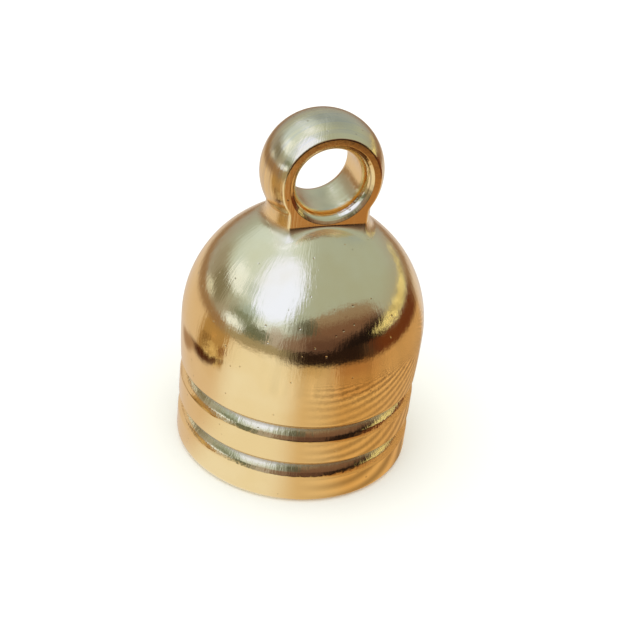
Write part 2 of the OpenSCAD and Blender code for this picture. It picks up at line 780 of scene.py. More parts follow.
@dataclass
class Sheet:
    """A node tree that nodes are laid out on, from left to right."""

    tree: bpy.types.NodeTree
    across: int = 0
    column_w: int = 60
    row_h: int = 220
    rows: int = 4

    def add(self, kind: str, settings: dict | None = None, **inputs: Feed) -> bpy.types.Node:
        """Adds a node, sets it and feeds it.

        Args:
            kind: The node's type.
            settings: Its own settings by name.
            **inputs: What feeds each input. An input goes by its name, with _ for a blank, or by i and
                its number.

        Returns:
            The node.
        """
        node = self.tree.nodes.new(kind)
        node.location = (self.across, -self.row_h * (len(self.tree.nodes) % self.rows))
        self.across += self.column_w
        for name, value in (settings or {}).items():
            setattr(node, name, value)
        for name, value in inputs.items():
            if name[0] == "i" and name[1:].isdigit():
                socket = node.inputs[int(name[1:])]
            else:
                socket = node.inputs[name.replace("_", " ")]
            if isinstance(value, Socket):
                self.tree.links.new(value, socket)
            else:
                socket.default_value = value
        return node

    def math(self, operation: str, *values: Feed) -> Socket:
        """Adds a Math node.

        Args:
            operation: What it does.
            *values: Its inputs, numbers or sockets.

        Returns:
            Its output.
        """
        inputs = {f"i{n}": v for n, v in enumerate(values)}
        return self.add("ShaderNodeMath", {"operation": operation}, **inputs).outputs[0]

    def product(self, *factors: Feed) -> Socket:
        """Multiplies two or more numbers or sockets together."""
        return reduce(lambda first, second: self.math("MULTIPLY", first, second), factors)

    def total(self, *terms: Feed) -> Socket:
        """Adds two or more numbers or sockets together."""
        return reduce(lambda first, second: self.math("ADD", first, second), terms)

    def diagonal(self, first: Feed, second: Feed) -> Socket:
        """Gives the distance that two sides at a right angle span."""
        return self.math("SQRT", self.total(self.product(first, first), self.product(second, second)))

    def vector(self, operation: str, *values: Feed) -> Socket:
        """Adds a Vector Math node.

        Args:
            operation: What it does.
            *values: Its inputs, vectors or sockets.

        Returns:
            Its output, a number for a dot product or a length.
        """
        inputs = {f"i{n}": v for n, v in enumerate(values)}
        node = self.add("ShaderNodeVectorMath", {"operation": operation}, **inputs)
        return node.outputs[1 if operation in ("DOT_PRODUCT", "LENGTH") else 0]

    def scaled(self, value: Socket, times: float) -> Socket:
        """Makes a vector longer or shorter."""
        return self.add("ShaderNodeVectorMath", {"operation": "SCALE"}, i0=value, Scale=times).outputs[0]

    def millimetres(self) -> Socket:
        """Gives the place on the piece, in millimetres."""
        place = self.add("ShaderNodeTexCoord").outputs["Object"]
        return self.vector("MULTIPLY", place, (1 / MM, 1 / MM, 1 / MM))

    def step(self, value: Socket, low: float, high: float) -> Socket:
        """Adds a smooth step from 0 at low to 1 at high, whichever of the two is the larger.

        Args:
            value: What is compared.
            low: Where the step is 0.
            high: Where it is 1.

        Returns:
            The step's output.
        """
        if low > high:
            return self.math("SUBTRACT", 1.0, self.step(value, high, low))
        return self.add(
            "ShaderNodeMapRange", {"interpolation_type": "SMOOTHSTEP"}, i0=value, i1=low, i2=high
        ).outputs[0]

    def above(self, value: Socket, limit: float, soft: float) -> Socket:
        """Gives 1 above a limit and 0 below it, over an edge that is soft to both sides."""
        return self.step(value, limit - soft, limit + soft)

    def below(self, value: Socket, limit: float, soft: float) -> Socket:
        """Gives 1 below a limit and 0 above it, over an edge that is soft to both sides."""
        return self.step(value, limit + soft, limit - soft)

    def mix(self, factor: Feed, first: Feed, second: Feed) -> Socket:
        """Adds a colour mix.

        Args:
            factor: The share of the second colour.
            first: The first colour.
            second: The second colour.

        Returns:
            The mixed colour.
        """
        return self.add(
            "ShaderNodeMix", {"data_type": "RGBA"}, i0=factor, i6=first, i7=second
        ).outputs[2]


@dataclass(frozen=True)
class Effect:
    """A shared node group: its name, its inputs with their values, and its outputs."""

    name: str
    inputs: tuple[tuple[str, float], ...]
    outputs: tuple[tuple[str, str], ...]

    def start(self) -> tuple[Sheet, dict[str, Socket]]:
        """Makes the empty group.

        Returns:
            Its sheet, and its input sockets by name.
        """
        group = bpy.data.node_groups.new(self.name, "ShaderNodeTree")
        for name, value in self.inputs:
            socket = group.interface.new_socket(name, in_out="INPUT", socket_type=NUMBER)
            socket.default_value = value
        for name, kind in self.outputs:
            group.interface.new_socket(name, in_out="OUTPUT", socket_type=kind)
        sheet = Sheet(group)
        return sheet, {socket.name: socket for socket in sheet.add("NodeGroupInput").outputs}

    def finish(self, sheet: Sheet, **results: Socket) -> bpy.types.NodeTree:
        """Feeds the group's outputs.

        Args:
            sheet: The group's sheet.
            **results: The socket for each output, by its name with _ for a blank.

        Returns:
            The finished group.
        """
        sheet.add("NodeGroupOutput", **results)
        return sheet.tree


def turned_places() -> bpy.types.NodeTree:
    """Makes the group that lays a pattern round the cap's axis and up its side, in millimetres.

    Returns:
        The group.
    """
    effect = Effect(
        "Round and up",
        (("Round", 1.0), ("Up", 1.0)),
        (("Places", "NodeSocketVector"), ("Radius", NUMBER), ("Height", NUMBER)),
    )
    sheet, given = effect.start()
    dome_r, dome_z = BodyOutline.dome_r, BodyOutline.dome_z
    x, y, z = sheet.add("ShaderNodeSeparateXYZ", i0=sheet.millimetres()).outputs
    radius = sheet.diagonal(x, y)
    off_axis = sheet.math("MAXIMUM", radius, 0.01)
    over = sheet.math("MAXIMUM", sheet.math("SUBTRACT", z, dome_z), 0.0)
    along = sheet.total(
        sheet.math("MINIMUM", z, dome_z), sheet.product(sheet.math("ARCTAN2", over, off_axis), dome_r)
    )
    spread = sheet.math("DIVIDE", sheet.product(given["Round"], dome_r), off_axis)
    places = sheet.add(
        "ShaderNodeCombineXYZ",
        i0=sheet.product(x, spread),
        i1=sheet.product(y, spread),
        i2=sheet.product(along, given["Up"]),
    ).outputs[0]
    return effect.finish(sheet, Places=places, Radius=radius, Height=z)


def hairlines() -> bpy.types.NodeTree:
    """Makes the group for fine drawn hairlines, long up the cap's side and thin round it.

    Returns:
        The group.
    """
    effect = Effect("Hairlines", (("Fineness", 8.0), ("Length", 1.0)), (("Height", NUMBER),))
    sheet, given = effect.start()
    laid = sheet.add(
        "ShaderNodeGroup",
        {"node_tree": bpy.data.node_groups["Round and up"]},
        Round=given["Fineness"],
        Up=given["Length"],
    )
    lines = sheet.add(
        "ShaderNodeTexNoise", Vector=laid.outputs["Places"], Scale=1.0, Detail=3.0, Roughness=0.6
    )
    return effect.finish(sheet, Height=sheet.math("SUBTRACT", lines.outputs[0], 0.5))


def by_the_foot() -> bpy.types.NodeTree:
    """Makes the group that finds the corner between foot and dome, where no polishing wheel reaches.

    Returns:
        The group.
    """
    effect = Effect(
        "By the foot",
        (("Half width", 1.85), ("Half depth", 1.45), ("Reach", 0.55), ("Lowest", 11.05), ("Highest", 11.95)),
        (("Mask", NUMBER),),
    )
    sheet, given = effect.start()
    x, y, z = sheet.add("ShaderNodeSeparateXYZ", i0=sheet.millimetres()).outputs
    past_x = sheet.math("SUBTRACT", sheet.math("ABSOLUTE", x), given["Half width"])
    past_y = sheet.math("SUBTRACT", sheet.math("ABSOLUTE", y), given["Half depth"])
    off = sheet.add(
        "ShaderNodeCombineXYZ",
        i0=sheet.math("MAXIMUM", past_x, 0.0),
        i1=sheet.math("MAXIMUM", past_y, 0.0),
    ).outputs[0]
    near = sheet.math("DIVIDE", sheet.vector("LENGTH", off), given["Reach"])
    up = sheet.above(sheet.math("SUBTRACT", z, given["Lowest"]), 0.0, 0.05)
    down = sheet.below(sheet.math("SUBTRACT", z, given["Highest"]), 0.0, 0.10)
    return effect.finish(sheet, Mask=sheet.product(sheet.below(near, 0.7, 0.3), up, down))


def pinholes() -> bpy.types.NodeTree:
    """Makes the group for the scattered pinholes and grains under the plating.

    Returns:
        The group.
    """
    effect = Effect(
        "Pinholes", (("Per millimetre", 2.2), ("Size", 0.12), ("Share", 0.35)), (("Mask", NUMBER),)
    )
    sheet, given = effect.start()
    cells = sheet.add(
        "ShaderNodeTexVoronoi", {"feature": "F1"}, Vector=sheet.millimetres(), Scale=given["Per millimetre"]
    )
    chance = sheet.add("ShaderNodeSeparateColor", i0=cells.outputs["Color"]).outputs[0]
    kept = sheet.math("LESS_THAN", chance, given["Share"])
    near = sheet.math("DIVIDE", cells.outputs["Distance"], given["Size"])
    return effect.finish(sheet, Mask=sheet.product(sheet.below(near, 0.65, 0.35), kept))


def turned_rings() -> bpy.types.NodeTree:
    """Makes the group for the fine rings that drill and wheel left round the eye and in its hole.

    Returns:
        The group.
    """
    effect = Effect(
        "Turned rings",
        (("Per millimetre", 7.0), ("Axis height", Eye.height), ("Axis aside", Foot.aside)),
        (("Height", NUMBER), ("Reach", NUMBER), ("Off centre", NUMBER)),
    )
    sheet, given = effect.start()
    x, y, z = sheet.add("ShaderNodeSeparateXYZ", i0=sheet.millimetres()).outputs
    side = sheet.math("SUBTRACT", x, given["Axis aside"])
    up = sheet.math("SUBTRACT", z, given["Axis height"])
    reach = sheet.diagonal(side, up)
    places = sheet.add(
        "ShaderNodeCombineXYZ",
        i0=sheet.product(sheet.math("SINE", sheet.math("ARCTAN2", up, side)), 0.5),
        i1=sheet.product(y, given["Per millimetre"]),
        i2=sheet.product(reach, 2.0),
    ).outputs[0]
    rings = sheet.add("ShaderNodeTexNoise", Vector=places, Scale=1.0, Detail=2.0, Roughness=0.55)
    height = sheet.math("SUBTRACT", rings.outputs[0], 0.5)
    return effect.finish(sheet, Height=height, Reach=reach, Off_centre=sheet.math("ABSOLUTE", y))


def ripples() -> bpy.types.NodeTree:
    """Makes the group for the slow unevenness of a cast and hand-polished surface.

    Returns:
        The group.
    """
    effect = Effect("Ripples", (("Per millimetre", 0.6), ("Detail", 1.0)), (("Height", NUMBER),))
    sheet, given = effect.start()
    noise = sheet.add(
        "ShaderNodeTexNoise",
        Vector=sheet.millimetres(),
        Scale=given["Per millimetre"],
        Detail=given["Detail"],
        Roughness=0.5,
    )
    return effect.finish(sheet, Height=sheet.math("SUBTRACT", noise.outputs[0], 0.5))


@dataclass
class CapPlaces:
    """The masks that find each kind of place on the cap. Heights and radii are in millimetres."""

    sheet: Sheet
    grooves_top: float = 4.2
    lowest_shoulder: float = 0.65
    wall_top: float = 6.5
    eye_z: float = 12.3
    root_r: tuple[float, float] = (4.95, 5.185)
    shoulder_r: float = 5.385
    drilled_r: float = 1.73
    step_r: tuple[float, float] = (1.69, 1.745)
    face_y: float = 1.485
    worn_r: float = 2.1

    def group(self, name: str, **inputs: float) -> bpy.types.Node:
        """Places a shared group with its own values."""
        return self.sheet.add("ShaderNodeGroup", {"node_tree": bpy.data.node_groups[name]}, **inputs)

    def __post_init__(self) -> None:
        """Lays out the masks."""
        sheet = self.sheet
        where = self.group("Round and up")
        radius, height = where.outputs["Radius"], where.outputs["Height"]
        under_wall = sheet.below(height, self.grooves_top, 0.1)
        over = sheet.math("MAXIMUM", sheet.math("SUBTRACT", height, BodyOutline.dome_z), 0.0)
        self.hollow = sheet.below(sheet.diagonal(radius, over), BodyOutline.socket_r + 0.175, 0.125)
        # the groove roots, which the colour darkens with painted shade
        self.root = sheet.product(
            sheet.below(radius, self.root_r[1], 0.035), under_wall, sheet.above(radius, self.root_r[0], 0.05)
        )
        self.shoulder = sheet.product(
            sheet.below(radius, self.shoulder_r, 0.025),
            under_wall,
            sheet.above(height, self.lowest_shoulder, 0.15),
        )
        # the straight wall is polished finer than the dome and the shoulders
        self.wall = sheet.product(
            sheet.below(height, self.wall_top, 0.4), sheet.math("SUBTRACT", 1.0, self.shoulder)
        )
        # on the eye: its hole, the step behind each lip, and the outside
        self.rings = self.group("Turned rings", Per_millimetre=7.0)
        reach = self.rings.outputs["Reach"]
        self.on_eye = sheet.above(height, self.eye_z, 0.2)
        self.hole = sheet.product(self.on_eye, sheet.below(reach, self.drilled_r, 0.03))
        # the step behind each lip, which the colour darkens with painted shade
        self.step_in = sheet.product(
            sheet.above(reach, self.step_r[0], 0.02),
            sheet.below(reach, self.step_r[1], 0.015),
            self.on_eye,
            sheet.below(self.rings.outputs["Off centre"], self.face_y, 0.015),
        )
        bands = self.group("Turned rings", Per_millimetre=2.5).outputs["Height"]
        self.worn = sheet.product(
            sheet.above(bands, 0.01, 0.11), self.on_eye, sheet.above(reach, self.worn_r, 0.1)
        )
        self.corner = self.group("By the foot").outputs[0]
        self.holes = self.group("Pinholes", Per_millimetre=2.2, Size=0.13, Share=0.45).outputs[0]
        # patterns that run all over
        self.slow = self.group("Ripples", Per_millimetre=0.55, Detail=1.0).outputs[0]
        self.cast = self.group("Ripples", Per_millimetre=5.0, Detail=4.0).outputs[0]
        self.hair = self.group("Hairlines", Fineness=5.0, Length=0.9).outputs[0]
        self.fine = self.group("Hairlines", Fineness=12.0, Length=2.5).outputs[0]
        tone = self.group("Ripples", Per_millimetre=0.35, Detail=3.0).outputs[0]
        self.shade = sheet.above(tone, 0.02, 0.14)


@dataclass(frozen=True)
class GoldPlating:
    """Polished gold plating over cast metal: mirror outside, duller and cast inside the socket."""

    bright: Colour = (1.0, 0.76, 0.385, 1)
    warm: Colour = (0.97, 0.71, 0.33, 1)
    # dirt for the pinholes, and painted shade for the groove roots and the step behind each lip
    grime_and_painted_shade: Colour = (0.42, 0.27, 0.12, 1)
    pale_worn: Colour = (0.76, 0.61, 0.40, 1)
    inside: Colour = (0.78, 0.56, 0.27, 1)
    polish: float = 0.10
    finest: float = 0.04

    def colour(self, sheet: Sheet, at: CapPlaces) -> Socket:
        """Lays out the colour: two golds, worn bands, dirt in the pinholes, painted shade in the groove roots
        and on the step behind each lip of the hole, and the plain inside.

        Args:
            sheet: The material's sheet.
            at: The cap's places.

        Returns:
            The colour.
        """
        tone = sheet.mix(at.shade, self.bright, self.warm)
        for place, share, colour in (
            (at.worn, 0.55, self.pale_worn),
            # painted shade in the groove roots and on the step behind each lip, dirt in the pinholes
            (at.root, 0.4, self.grime_and_painted_shade),
            (at.step_in, 0.75, self.grime_and_painted_shade),
            (at.holes, 0.35, self.grime_and_painted_shade),
            (at.hollow, 1.0, self.inside),
        ):
            tone = sheet.mix(sheet.product(place, share), tone, colour)
        return tone

    def roughness(self, sheet: Sheet, at: CapPlaces) -> Socket:
        """Lays out the roughness: finer on the wall, and coarser where the polish is thin or absent.

        Args:
            sheet: The material's sheet.
            at: The cap's places.

        Returns:
            The roughness.
        """
        rough = self.polish
        for place, more in (
            (at.wall, -0.04),
            (at.shade, 0.03),
            (at.fine, 0.12),
            (at.root, 0.2),
            (at.hollow, 0.28),
            (at.corner, 0.22),
        ):
            rough = sheet.math("MULTIPLY_ADD", place, more, rough)
        return sheet.math("MAXIMUM", rough, self.finest)

    def relief(self, sheet: Sheet, at: CapPlaces) -> Socket:
        """Lays out the relief, in millimetres.

        Args:
            sheet: The material's sheet.
            at: The cap's places.

        Returns:
            The relief's height.
        """
        marks = sheet.math("MULTIPLY_ADD", at.shoulder, 0.008, 0.007)
        level = sheet.total(
            sheet.product(at.slow, 0.012),
            sheet.product(at.hair, marks),
            sheet.product(at.fine, 0.0035),
            sheet.product(at.cast, 0.004),
        )
        level = sheet.product(level, sheet.math("MULTIPLY_ADD", at.wall, -0.7, 1.0))
        turned = sheet.total(sheet.product(at.on_eye, 0.004), sheet.product(at.hole, 0.008))
        return sheet.total(
            level,
            sheet.product(at.rings.outputs["Height"], turned),
            sheet.product(at.holes, -0.009),
            sheet.product(at.cast, at.hollow, 0.02),
        )

    def material(self) -> bpy.types.Material:
        """Makes the material.

        Returns:
            The gold plating, as nodes.
        """
        made = bpy.data.materials.new("gold plating")
        made.use_nodes = True
        sheet = Sheet(made.node_tree)
        shader = made.node_tree.nodes["Principled BSDF"]
        shader.inputs["Metallic"].default_value = 1.0
        at = CapPlaces(sheet)
        bump = sheet.add("ShaderNodeBump", Strength=1.0, Distance=MM, Height=self.relief(sheet, at))
        for name, socket in (
            ("Base Color", self.colour(sheet, at)),
            ("Roughness", self.roughness(sheet, at)),
            ("Normal", bump.outputs[0]),
        ):
            sheet.tree.links.new(socket, shader.inputs[name])
        return made


# The studio


@dataclass(frozen=True)
class Glow:
    """One soft patch of the studio's surroundings: where it is, how far it reaches and its colour.

    Its angles are in degrees. It covers what is behind it by its share, and its grain breaks it into specks.
    """

    turn: float
    rise: float
    half_wide: float
    half_high: float
    soft: float
    colour: tuple[float, float, float]
    share: float = 1.0
    tilt: float = 0.0
    grain: float = 0.0

    def frame(self) -> tuple[Vector, Vector, Vector]:
        """Gives the patch's own directions.

        Returns:
            The direction of its middle, and those across and up it.
        """
        a, e = math.radians(self.turn), math.radians(self.rise)
        middle = Vector((math.sin(a) * math.cos(e), -math.cos(a) * math.cos(e), math.sin(e)))
        across = Vector((math.cos(a), math.sin(a), 0))
        up = middle.cross(across)
        if up.z < 0:
            up = -up
        lean = math.radians(self.tilt)
        return (
            middle,
            across * math.cos(lean) + up * math.sin(lean),
            up * math.cos(lean) - across * math.sin(lean),
        )


@dataclass(frozen=True)
class Spot:
    """One soft oval of the tone that the plating mirrors from the floor, placed in millimetres."""

    place: tuple[float, float]
    half_long: float
    half_short: float
    turn: float
    soft: float
    colour: tuple[float, float, float]
    grain: float = 0.0

    def mask(self, sheet: Sheet, mm: Socket) -> Socket:
        """Lays out the oval's mask.

        Args:
            sheet: The floor's node sheet.
            mm: The place on the floor.

        Returns:
            The mask, 1 inside.
        """
        a = math.radians(self.turn)
        long, short = self.half_long, self.half_short
        p = sheet.vector("SUBTRACT", mm, (*self.place, 0))
        along = sheet.vector("DOT_PRODUCT", p, (math.cos(a) / long, math.sin(a) / long, 0))
        beside = sheet.vector("DOT_PRODUCT", p, (-math.sin(a) / short, math.cos(a) / short, 0))
        reach = sheet.total(sheet.product(along, along), sheet.product(beside, beside))
        mask = sheet.step(reach, 1 + self.soft, max(0.0, 1 - self.soft))
        if self.grain:
            noise = sheet.add("ShaderNodeTexNoise", Vector=mm, Scale=0.9, Detail=2.0)
            mask = sheet.product(mask, sheet.step(noise.outputs[0], self.grain, self.grain + 0.06))
        return mask


@dataclass(frozen=True)
class Wash:
    """One wide tone that the plating mirrors from the floor, toward a heading and from one distance on.

    It comes in between its edge and its core, in degrees off the heading, and between its start and its full
    distance.
    """

    turn: float
    edge: float
    core: float
    colour: tuple[float, float, float]
    start: float = 0.0
    full: float = 0.0


@dataclass
class Table:
    """The warm wooden table that only the plating mirrors, on the floor's sheet, in millimetres. It glows,
    and its tones hold painted light and shade.
    """

    sheet: Sheet
    under_cap: Colour = (0.56, 0.37, 0.18, 1)
    wood: Colour = (0.46, 0.265, 0.11, 1)
    # the wood farther out, darker with painted shade
    far_wood_in_painted_shade: Colour = (0.38, 0.195, 0.08, 1)

    def __post_init__(self) -> None:
        """Lays out the place on the floor, its distance from the cap's axis and its heading."""
        self.mm = self.sheet.millimetres()
        self.away = self.sheet.vector("LENGTH", self.mm)
        self.heading = self.sheet.vector("NORMALIZE", self.mm)

    def toward(self, turn: float, edge: float, core: float) -> Socket:
        """Gives the share of a heading: 0 from edge degrees off it, 1 up to core degrees.

        Args:
            turn: The heading in degrees.
            edge: Where the share has faded out.
            core: How far the full share goes.

        Returns:
            The share.
        """
        a = math.radians(turn)
        near = self.sheet.vector("DOT_PRODUCT", self.heading, (math.sin(a), -math.cos(a), 0))
        return self.sheet.step(near, math.cos(math.radians(edge)), math.cos(math.radians(core)))

    def lay(self, wash: Wash, under: Socket) -> Socket:
        """Lays one wide tone over the tones under it.

        Args:
            wash: The tone.
            under: The colour under it.

        Returns:
            The colour with the tone laid over it.
        """
        mask = self.toward(wash.turn, wash.edge, wash.core) if wash.edge < 180 else 1.0
        if wash.full != wash.start:
            mask = self.sheet.product(mask, self.sheet.step(self.away, wash.start, wash.full))
        return self.sheet.mix(mask, under, (*wash.colour, 1))

    def grain(self) -> Socket:
        """Lays out the wood's grain: curved near the cap, straight beyond it at the right, streaked in front.

        Returns:
            How much lighter or darker the grain makes the table, 1 where there is none.
        """
        sheet, away = self.sheet, self.away
        curved = sheet.add(
            "ShaderNodeTexWave",
            {"wave_type": "RINGS", "rings_direction": "Z", "wave_profile": "SIN"},
            Vector=sheet.vector("SUBTRACT", self.mm, (0.0, 3.0, 0.0)),
            Scale=0.37,
            Distortion=1.6,
            Detail=1.5,
            Detail_Scale=0.35,
        ).outputs["Fac"]
        turned = sheet.add(
            "ShaderNodeVectorRotate", {"rotation_type": "Z_AXIS"}, Vector=self.mm, Angle=math.radians(-72)
        )
        straight = sheet.add(
            "ShaderNodeTexWave",
            {"wave_type": "BANDS", "bands_direction": "X", "wave_profile": "SIN"},
            Vector=turned.outputs[0],
            Scale=0.30,
            Distortion=2.0,
            Detail=2.0,
            Detail_Scale=0.3,
        ).outputs["Fac"]
        streaks = sheet.add(
            "ShaderNodeTexNoise", Vector=sheet.scaled(self.heading, 9.0), Scale=1.0, Detail=3.0
        ).outputs[0]
        beyond = sheet.above(away, 16.25, 0.75)
        # the farther the table is from the plating, the more of its grain is lost in the mirror image
        stronger = sheet.math("MULTIPLY_ADD", sheet.above(away, 11.5, 1.5), 0.6, 0.7)
        near = sheet.product(stronger, sheet.math("SUBTRACT", 1.0, beyond))
        level = 1.0
        for pattern, middle, depth, share, reach in (
            (curved, 0.55, 0.9, self.toward(62, 80, 35), near),
            (straight, 0.5, 0.9, self.toward(78, 48, 24), beyond),
            (streaks, 0.5, 0.7, self.toward(20, 70, 40), sheet.above(away, 12.85, 0.35)),
        ):
            wave = sheet.product(sheet.math("SUBTRACT", pattern, middle), depth)
            level = sheet.total(level, sheet.product(wave, share, reach))
        return level

    def tone(
        self, near_washes: Sequence[Wash], marks: Sequence[Wash | Spot], far_washes: Sequence[Wash]
    ) -> Socket:
        """Lays out the table's whole tone, with its painted light and shade.

        Args:
            near_washes: The wide tones under the grain.
            marks: What lies on the table.
            far_washes: The wide tones over all.

        Returns:
            The colour.
        """
        sheet = self.sheet
        # painted shade darkens the table farther from the cap, and it is painted lighter close under the cap
        warm = sheet.mix(sheet.above(self.away, 19.0, 5.0), self.wood, self.far_wood_in_painted_shade)
        warm = sheet.mix(sheet.below(self.away, 12.5, 0.5), warm, self.under_cap)
        for wash in near_washes:
            warm = self.lay(wash, warm)
        warm = sheet.add("ShaderNodeHueSaturation", Value=self.grain(), Color=warm).outputs[0]
        for mark in marks:
            if isinstance(mark, Wash):
                warm = self.lay(mark, warm)
            else:
                warm = sheet.mix(mark.mask(sheet, self.mm), warm, (*mark.colour, 1))
        for wash in far_washes:
            warm = self.lay(wash, warm)
        return warm


@dataclass(frozen=True)
class View:
    """The camera at the photograph's angle.

    Its angles are in degrees, its place is in metres, and its sensor and lens are in millimetres. Its shift
    is a share of the sensor's width.
    """

    turn: float = -21.0
    rise: float = 32.4
    roll: float = 6.4
    target_z: float = 0.0066
    distance: float = 0.066
    sensor: float = 36.0
    lens: float = 81.74
    shift: tuple[float, float] = (0.0262, -0.0114)
    clip: tuple[float, float] = (0.002, 20.0)

    def camera(self) -> bpy.types.Object:
        """Sets up the camera.

        Returns:
            The camera.
        """
        turn, rise, lean = (math.radians(angle) for angle in (self.turn, self.rise, self.roll))
        back = Vector((math.sin(turn) * math.cos(rise), -math.cos(turn) * math.cos(rise), math.sin(rise)))
        level = Vector((math.cos(turn), math.sin(turn), 0))
        upright = back.cross(level)
        right = level * math.cos(lean) + upright * math.sin(lean)
        up = upright * math.cos(lean) - level * math.sin(lean)
        data = bpy.data.cameras.new("camera")
        data.sensor_width = self.sensor
        data.lens = self.lens
        data.shift_x, data.shift_y = self.shift
        data.clip_start, data.clip_end = self.clip
        camera = bpy.data.objects.new("camera", data)
        place = Vector((0, 0, self.target_z)) + back * self.distance
        turned = Matrix((right, up, back)).transposed().to_4x4()
        camera.matrix_world = Matrix.Translation(place) @ turned
        bpy.context.scene.collection.objects.link(camera)
        bpy.context.scene.camera = camera
        return camera


@dataclass
class Studio:
    """The pale floor, the soft surroundings and the camera."""

    sky: Colour = (0.395, 0.525, 0.665, 1)
    low_sky: Colour = (0.36, 0.38, 0.44, 1)
    pale: Colour = (1.0, 1.0, 0.91, 1)
    floor_colour: Colour = (0.95, 0.95, 0.87, 1)
    # how far the patches' edges wander, and how square the patches are
    wander: float = 0.09
    squareness: float = 2.5
    lamp_size: float = 0.6
    lamp_power: float = 0.8
    lamp_place: tuple[float, float, float] = (-0.1, -0.1, 0.4)
    floor_size: float = 3.0
    floor_z: float = -2e-6
    view: View = View()
    glows: tuple[Glow, ...] = (
        Glow(150, 50, 28, 20, 0.8, (0.30, 0.42, 0.62), 0.9),
        Glow(-105, 56, 43, 30, 0.9, (0.63, 0.87, 1.30), 0.95),
        Glow(-52, 22, 18, 12, 0.6, (0.66, 0.88, 1.3)),
        Glow(-57, 47, 21.5, 27, 0.45, (0.87, 1.16, 2.35), tilt=15),
        Glow(-131, 68, 9, 7, 0.6, (0.88, 1.16, 2.1)),
        Glow(-161, 37, 4.5, 4.5, 0.5, (0.88, 1.16, 2.1)),
        Glow(20, 25, 37, 10, 0.6, (0.27, 0.21, 0.18), 0.9),
        Glow(20, 12, 43, 13, 0.7, (0.17, 0.10, 0.085), 0.95),
        Glow(18, 0, 44, 12, 0.9, (0.10, 0.055, 0.05), 0.9),
        Glow(37, 1, 26, 11, 0.8, (0.012, 0.008, 0.009), tilt=15),
        Glow(-15, 22, 7, 7, 0.8, (0.08, 0.10, 0.095), 0.9),
        Glow(-27, 19, 6, 6, 0.8, (0.28, 0.35, 0.45), 0.8),
        Glow(-28, 2, 10, 8, 0.8, (0.23, 0.17, 0.17), 0.9),
        Glow(-45, 7, 8, 9, 0.8, (0.44, 0.46, 0.60), 0.9),
        Glow(-64, 5, 13, 6, 0.7, (0.13, 0.17, 0.16)),
        Glow(-76, 18, 10, 6, 0.8, (0.36, 0.53, 0.74), 0.8),
        Glow(-80, 11, 12, 5, 0.7, (0.20, 0.27, 0.28)),
        Glow(-137, 12, 12, 9, 0.7, (0.31, 0.33, 0.37), 0.9),
        Glow(-120, 12, 13, 9, 0.6, (0.21, 0.22, 0.21), 0.95),
        Glow(-87, 3.5, 10, 4, 0.6, (0.88, 1.14, 1.8)),
        Glow(-130, 1.5, 8, 3, 0.6, (0.72, 0.86, 1.1)),
        Glow(-108, 30, 15, 8, 0.6, (0.88, 1.16, 1.9), 0.9),
        Glow(-90, 33, 7, 6, 0.8, (0.50, 0.70, 1.05), 0.8),
        Glow(90, 6, 36, 4.0, 0.6, (0.36, 0.32, 0.18), 0.9),
        Glow(90, 6, 36, 4.4, 0.6, (1.3, 1.35, 0.88), grain=0.50),
    )

    # the warm tones of a wooden table near the cap, by heading, with painted light, pale toward the left, and
    # painted shade, orange-brown toward the right; and those farther out, mostly darker, with the painted
    # shadow of the camera in front
    near_washes: tuple[Wash, ...] = (
        Wash(95, 62, 28, (0.55, 0.36, 0.19)),
        Wash(132, 25, 8, (0.76, 0.72, 0.74)),
        Wash(180, 75, 35, (0.66, 0.59, 0.56)),
        Wash(-125, 62, 34, (0.70, 0.60, 0.53)),
        Wash(-18, 36, 8, (0.66, 0.53, 0.37)),
        Wash(-18, 30, 8, (0.52, 0.39, 0.23), 14, 26),
        Wash(-52, 40, 13, (0.83, 0.86, 0.91)),
    )
    far_washes: tuple[Wash, ...] = (
        Wash(0, 360, 360, (0.30, 0.21, 0.15), 38, 72),
        Wash(-55, 44, 25, (0.34, 0.33, 0.28), 44, 72),
        Wash(76, 44, 24, (0.13, 0.04, 0.018), 29, 41),
        # the painted shadow of the camera, nearly black, in front
        Wash(8, 50, 22, (0.02, 0.011, 0.010), 27, 42),
    )
    # what lies on the table at the left, and its edge toward the cap; the near-black spot along that edge and
    # the brown smear beside it are painted shade, and the pale spots are painted glints
    wedge: Wash = Wash(-98, 17.5, 14, (0.42, 0.29, 0.14), 12.4, 13.6)
    spots: tuple[Spot, ...] = (
        Spot((-19.5, -1.7), 3.4, 1.0, 12, 0.7, (0.20, 0.08, 0.02)),
        Spot((-18.5, 4.6), 5.5, 1.7, 165, 0.8, (0.23, 0.14, 0.06)),
        Spot((-17.5, 1.6), 2.6, 0.8, 168, 0.7, (0.68, 0.55, 0.32)),
        Spot((-29.0, 3.6), 5.0, 1.0, 168, 0.8, (0.62, 0.40, 0.18)),
        # painted shade: the near-black spot along the edge, and the brown smear beside it
        Spot((-12.75, 2.8), 5.0, 0.95, 69, 0.8, (0.06, 0.015, 0.006)),
        Spot((-9.2, 7.6), 2.8, 1.0, 40, 0.9, (0.38, 0.26, 0.18)),
        # painted glints, broken into specks by the grain
        Spot((-16.5, 1.5), 3.2, 4.0, 80, 0.4, (0.80, 0.68, 0.42), grain=0.52),
    )

